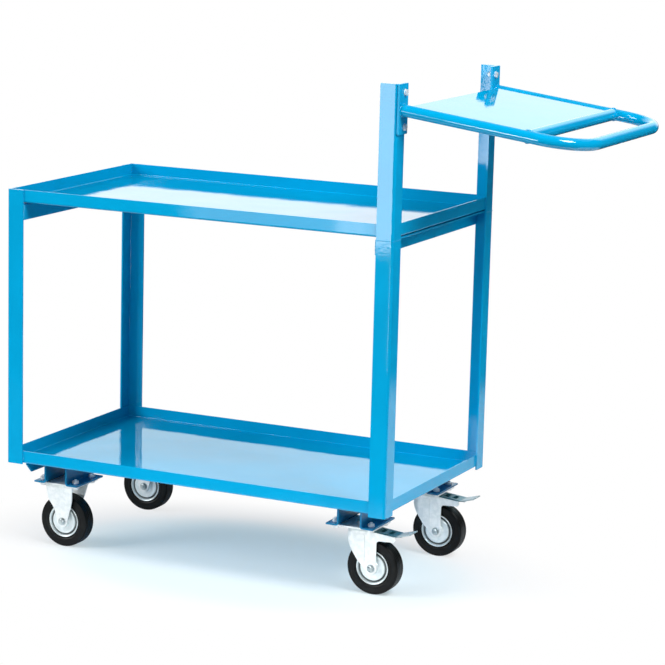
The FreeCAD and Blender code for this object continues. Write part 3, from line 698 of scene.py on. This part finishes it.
# butt weld round the outside of each post, and the cross angles' heels to the uprights
def postWelds(s):
    runs = []
    for hand in (-1, 1):
        x, y = pushFace - s["sunk"], hand * (sideFace - s["sunk"])
        flank = straight((pushFace - s["edge"], y, postFoot), (pushFace - s["heel"], y, postFoot))
        runs.append(bead(flank, (0, hand, 0), s["seam"], s["seamRipple"]))
        rear = straight((x, hand * (sideFace - s["heel"]), postFoot), (x, hand * (sideFace - s["edge"]), postFoot))
        runs.append(bead(rear, (1, 0, 0), s["seam"], s["seamRipple"]))
        for end, inward in ends:
            x, y = end + inward * s["crossAlong"], hand * (sideFace - s["crossAcross"])
            heel = straight((x, y, upperBase - s["crossTop"]), (x, y, upperBase - s["crossFoot"]))
            runs.append(bead(heel, (1, 0, 0), s["cross"], s["crossRipple"]))
    return runs


handleWeldShape = {"tubeRadius": 13.45, "leg": 274.0, "drop": 57.0, "tilt": math.radians(7.1), "plate": 5.8,
                   "cross": 301.5, "ring": 2.0, "ringOut": 0.5, "saddle": 1.9, "saddleOut": 0.4, "saddleIn": 0.3,
                   "ripple": 2.9, "steps": 120}


# rings round the tube at its end plates, and saddles where the cross tube meets its legs:
# a saddle follows the curve of one cylinder cutting another of the same size
def handleWelds(s):
    turn = fullTurn(s["steps"])
    ringRadius, saddleRadius = s["tubeRadius"] + s["ringOut"], s["tubeRadius"] + s["saddleOut"]
    runs = []
    for hand in (-1, 1):
        ring = np.stack([0 * turn + s["plate"], hand * s["leg"] + ringRadius * np.cos(turn),
                         ringRadius * np.sin(turn)], -1)
        runs.append(bead(ring, (1, 0, 0), s["ring"], s["ripple"], True))
        saddle = np.stack([s["cross"] + saddleRadius * np.cos(turn),
                           hand * (s["leg"] - s["tubeRadius"] * np.abs(np.cos(turn)) - s["saddleIn"]),
                           saddleRadius * np.sin(turn)], -1)
        runs.append(bead(saddle, (0, 1, 0), s["saddle"], s["ripple"], True))
    c, v = math.cos(s["tilt"]), math.sin(s["tilt"])
    tip = np.array([(c, 0, -v), (0, 1, 0), (v, 0, c)])
    return [(points @ tip + (pushFace, 0, postTop - s["drop"]), faces) for points, faces in runs]


bracketWeldShape = {"web": 31.0, "inset": 6.0, "under": 1.6, "radius": 2.4, "ripple": 3.1}


# castor brackets to the underside of the lower tray
def bracketWelds(s):
    runs = []
    level = lowerBase - s["under"]
    for place in places:
        low, high = (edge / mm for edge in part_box(place + "_bracket"))
        for offset in (-s["web"], s["web"]):
            x = (low[0] + high[0]) / 2 + offset
            web = straight((x, low[1] + s["inset"], level), (x, high[1] - s["inset"], level))
            runs.append(bead(web, (0, 0, 1), s["radius"], s["ripple"]))
    return runs


weldParts = (trayWelds(trayWeldShape) + postWelds(postWeldShape) + handleWelds(handleWeldShape)
             + bracketWelds(bracketWeldShape))
weldPoints, weldFaces = joined(weldParts)
addPiece("weldBeads", weldPoints * mm, weldFaces, blue, "blue_paint", "frame", beadShape["sharp"])
print("welds:", len(weldParts))

# Stage: floor, room, lamps and camera
viewShape = {"target": (2.308, 0.0, 558.485), "distance": 6193.714, "azimuth": 25.352, "elevation": 11.010,
             "roll": 1.490, "focal": 2618.341, "pixels": 665.0, "sensor": 36.0}
# glow is a cyan painted tint for the shadow pool near the trolley
floorLook = {"near": 1.0, "far": 4.0, "half": 4.0, "color": (0.92, 0.96, 0.98, 1), "beyond": (0.02, 0.02, 0.02, 1),
             "roughness": 0.9, "gloss": 0.1, "share": 0.4, "glow": (0.81, 0.965, 1, 1), "glowEdges": (0.0, 0.5),
             "middle": (-0.13, -0.1), "reach": (0.92, 0.6), "fade": (0.35, 0.95),
             "sweepMiddle": (0.3, 0.55), "sweepReach": (1.9, 1.55), "sweepFade": (0.85, 1.15)}


# white sweep on a dark studio floor, laid along the view; its glow to the camera grows to white away from the trolley
def addFloor(s):
    azimuth = math.radians(viewShape["azimuth"])
    ahead = np.array([math.sin(azimuth), -math.cos(azimuth), 0])
    beside = np.array([math.cos(azimuth), math.sin(azimuth), 0])
    corners = [ahead * u + beside * v for u, v in ((s["near"], -s["half"]), (s["near"], s["half"]),
                                                   (-s["far"], s["half"]), (-s["far"], -s["half"]))]
    mesh = bpy.data.meshes.new("floor")
    mesh.from_pydata([corner.tolist() for corner in corners], [], [(0, 1, 2, 3)])
    floor = bpy.data.objects.new("floor", mesh)
    scene.collection.objects.link(floor)
    f = Finish("whiteSweep", {"Roughness": s["roughness"], "Specular IOR Level": s["gloss"]})
    spot = f.node("ShaderNodeSeparateXYZ", {}, {0: f.place})

    # distance from a middle, 1 on an ellipse of that reach
    def away(middle, reach):
        x, y = (spot - middle[0]) / reach[0], (spot.also("Y") - middle[1]) / reach[1]
        return (x * x + y * y) ** 0.5

    edge = away(s["sweepMiddle"], s["sweepReach"]).rise(*s["sweepFade"])
    f.use("Base Color", f.blend(edge, s["color"], s["beyond"]))
    clear = away(s["middle"], s["reach"]).rise(*s["fade"]).atLeast(edge)
    share = s["share"] + (1 - s["share"]) * clear
    seen = f.node("ShaderNodeLightPath", {}, {}, "Is Camera Ray")
    # painted shadow tint: the glow to the camera is cyan near the trolley, where its shadow lies, and white away from
    # it
    tint = f.blend(clear.rise(*s["glowEdges"]), s["glow"], white)
    glow = f.node("ShaderNodeEmission", {}, {"Color": tint, "Strength": 1.0})
    mixed = f.node("ShaderNodeMixShader", {}, {0: seen * share, 1: Wire(f, f.shader.outputs[0]), 2: glow})
    f.feed(f.tree.nodes["Material Output"].inputs["Surface"], mixed)
    mesh.materials.append(f.material)


addFloor(floorLook)

# room: plain white to the camera; in reflections a white backdrop behind on the left, dark elsewhere
skyLook = {"fill": 0.28, "shown": 1.0, "backdrop": 1.68, "dim": 0.02, "foot": (-0.02, 0.06), "head": (0.5, 0.7),
           "behind": (0.0, 0.3), "right": (0.0, 0.3), "tint": (0.72, 0.93, 1, 1), "tintEdges": (0.13, 0.27)}


def addRoom(s):
    world = bpy.data.worlds.new("whiteRoom")
    scene.world = world
    world.use_nodes = True
    g = Graph(world.node_tree)
    way = g.node("ShaderNodeSeparateXYZ", {}, {0: g.node("ShaderNodeTexCoord", {}, {}, "Generated")})
    up, back = way.also("Z"), way.also("Y")
    tall = up.rise(*s["foot"]) * (1.0 - up.rise(*s["head"]))
    bright = tall * back.rise(*s["behind"]) * (1.0 - way.rise(*s["right"]))
    reflected = s["dim"] + (s["backdrop"] - s["dim"]) * bright
    ray = g.node("ShaderNodeLightPath", {}, {}, "Is Camera Ray")
    glossy = ray.also("Is Glossy Ray")
    unseen = s["fill"] + (reflected - s["fill"]) * glossy
    background = g.tree.nodes["Background"].inputs
    g.feed(background["Strength"], unseen + (s["shown"] - unseen) * ray)
    g.feed(background["Color"], g.blend(glossy * up.rise(*s["tintEdges"]), white, s["tint"]))


addRoom(skyLook)

# lamps: place and target in metres, sides of the panel, and watts
lamps = {
    "keyLamp": {"place": (-5.0, -4.4, 3.2), "target": (-0.1, 0, 0.5), "size": (3.4, 3.4), "power": 335},
    "sideLamp": {"place": (2.8, -1.3, 3.5), "target": (0.2, 0, 0.6), "size": (1.6, 1.6), "power": 150},
    "topLamp": {"place": (0.9, 1.2, 3.6), "target": (0, 0, 0.5), "size": (2.6, 2.4), "power": 6},
    # shows in the posts
    "stripLamp": {"place": (-0.8, -2.6, 0.71), "target": (0.26, -0.29, 1.0), "size": (0.25, 0.6), "power": 2.4},
    # shows in the upper tray's near lip
    "lipLamp": {"place": (-1.2, -2.6, 0.5), "target": (-0.2, -0.29, 0.86), "size": (0.55, 0.2), "power": 0.8},
    # shows in the handle's bends
    "bendLamp": {"place": (-0.76, -1.41, 3.5), "target": (0.5, -0.27, 1.1), "size": (0.45, 0.45), "power": 6.0},
    # draws a line along the handle tube
    "tubeLamp": {"place": (-0.48, -2.6, 0.33), "target": (-0.48, -0.27, 0.6), "size": (0.4, 0.55), "power": 9.0},
}


# a placing matrix from three axis directions and a point
def placed(right, up, back, place):
    return Matrix(np.vstack([np.stack([right, up, back, place], -1), (0, 0, 0, 1)]).tolist())


# rectangular lamp that faces its target, level across
def addLamp(name, place, target, size, power):
    lamp = bpy.data.lights.new(name, "AREA")
    lamp.shape = "RECTANGLE"
    lamp.size, lamp.size_y = size
    lamp.energy = power
    stand = bpy.data.objects.new(name, lamp)
    scene.collection.objects.link(stand)
    place, target = np.array(place, float), np.array(target, float)
    back = (place - target) / np.linalg.norm(place - target)
    right = np.cross((0, 0, 1), back)
    right /= np.linalg.norm(right)
    stand.matrix_world = placed(right, np.cross(back, right), back, place)


for name, values in lamps.items():
    addLamp(name, **values)


# camera: looks along the fitted bearing, tipped and rolled as the picture was taken
def addCamera(s):
    azimuth, elevation, roll = (math.radians(s[key]) for key in ("azimuth", "elevation", "roll"))
    back = np.array([math.sin(azimuth) * math.cos(elevation), -math.cos(azimuth) * math.cos(elevation),
                     math.sin(elevation)])
    right = np.cross(-back, (0, 0, 1))
    right /= np.linalg.norm(right)
    up = np.cross(right, -back)
    turnedRight = right * math.cos(roll) + up * math.sin(roll)
    turnedUp = up * math.cos(roll) - right * math.sin(roll)
    place = (np.array(s["target"]) + back * s["distance"]) * mm
    lens = bpy.data.cameras.new("camera")
    lens.sensor_width = s["sensor"]
    lens.lens = s["focal"] * s["sensor"] / s["pixels"]
    camera = bpy.data.objects.new("camera", lens)
    scene.collection.objects.link(camera)
    camera.matrix_world = placed(turnedRight, turnedUp, back, place)
    scene.camera = camera


addCamera(viewShape)
print("stage: floor, room,", len(lamps), "lamps and camera")
